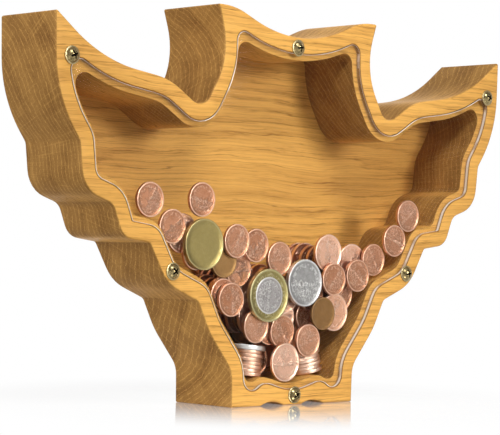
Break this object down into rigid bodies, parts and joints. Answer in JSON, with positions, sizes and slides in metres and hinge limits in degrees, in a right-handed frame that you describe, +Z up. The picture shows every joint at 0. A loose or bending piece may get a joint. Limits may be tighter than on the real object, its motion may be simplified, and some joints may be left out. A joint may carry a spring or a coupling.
{
  "type": "winged wooden money box",
  "caption": "Winged wooden money box with a clear screwed-on front window, a coin slot in the top edge and a heap of loose coins showing inside.",
  "frame": {"origin": "on the ground under the middle of the block's depth, on its middle line", "axes": "+X to the viewer's right along the wings, -Y out of the front window, +Z up"},
  "size_m": [0.3026, 0.0428, 0.1904],
  "materials": {
    "oak": "oiled, satin",
    "clear_sheet": "clear, polished faces, sawn edge",
    "antique_brass": "antique, darkened",
    "washer_brass": "antique, worn rim",
    "copper": "struck, worn",
    "dark_copper": "tarnished",
    "pale_copper": "struck, bright",
    "silver_metal": "struck, worn",
    "yellow_metal": "struck, dull",
    "ring_metal": "struck, dull",
    "core_metal": "struck, worn"
  },
  "bodies": {
    "box": {"body": "oak", "penny_coins": "copper", "dark_coins": "dark_copper", "bronze_coins": "pale_copper", "silver_coins": "silver_metal", "brass_coins": "yellow_metal", "bimetal_rings": "ring_metal", "bimetal_cores": "core_metal"},
    "window": {"window": "clear_sheet", "wing_washer_left": "washer_brass", "wing_washer_right": "washer_brass", "lower_washer_left": "washer_brass", "lower_washer_right": "washer_brass", "top_washer": "washer_brass", "bottom_washer": "washer_brass"},
    "wing_screw_left_body": {"wing_screw_left": "antique_brass"},
    "wing_screw_right_body": {"wing_screw_right": "antique_brass"},
    "lower_screw_left_body": {"lower_screw_left": "antique_brass"},
    "lower_screw_right_body": {"lower_screw_right": "antique_brass"},
    "top_screw_body": {"top_screw": "antique_brass"},
    "bottom_screw_body": {"bottom_screw": "antique_brass"}
  },
  "joints": [
    {"name": "window_lift", "type": "slide", "parent": "box", "child": "window", "axis": [0, -1, 0], "range_m": [0, 0.022]},
    {"name": "wing_screw_left_turn", "type": "hinge", "parent": "window", "child": "wing_screw_left_body", "pos_m": [-0.14191, -0.02, 0.15898], "axis": [0, -1, 0], "range_deg": [0, 4951]},
    {"name": "wing_screw_right_turn", "type": "hinge", "parent": "window", "child": "wing_screw_right_body", "pos_m": [0.14191, -0.02, 0.15898], "axis": [0, -1, 0], "range_deg": [0, 4951]},
    {"name": "lower_screw_left_turn", "type": "hinge", "parent": "window", "child": "lower_screw_left_body", "pos_m": [-0.08004, -0.02, 0.06427], "axis": [0, -1, 0], "range_deg": [0, 4951]},
    {"name": "lower_screw_right_turn", "type": "hinge", "parent": "window", "child": "lower_screw_right_body", "pos_m": [0.08004, -0.02, 0.06427], "axis": [0, -1, 0], "range_deg": [0, 4951]},
    {"name": "top_screw_turn", "type": "hinge", "parent": "window", "child": "top_screw_body", "pos_m": [-0.0018, -0.02, 0.17374], "axis": [0, -1, 0], "range_deg": [0, 4951]},
    {"name": "bottom_screw_turn", "type": "hinge", "parent": "window", "child": "bottom_screw_body", "pos_m": [0.0005, -0.02, 0.00475], "axis": [0, -1, 0], "range_deg": [0, 4951]}
  ],
  "couplings": [
    {"joint": "wing_screw_left_turn", "follows": "window_lift", "rad_per_m": 3927},
    {"joint": "wing_screw_right_turn", "follows": "window_lift", "rad_per_m": 3927},
    {"joint": "lower_screw_left_turn", "follows": "window_lift", "rad_per_m": 3927},
    {"joint": "lower_screw_right_turn", "follows": "window_lift", "rad_per_m": 3927},
    {"joint": "top_screw_turn", "follows": "window_lift", "rad_per_m": 3927},
    {"joint": "bottom_screw_turn", "follows": "window_lift", "rad_per_m": 3927}
  ]
}
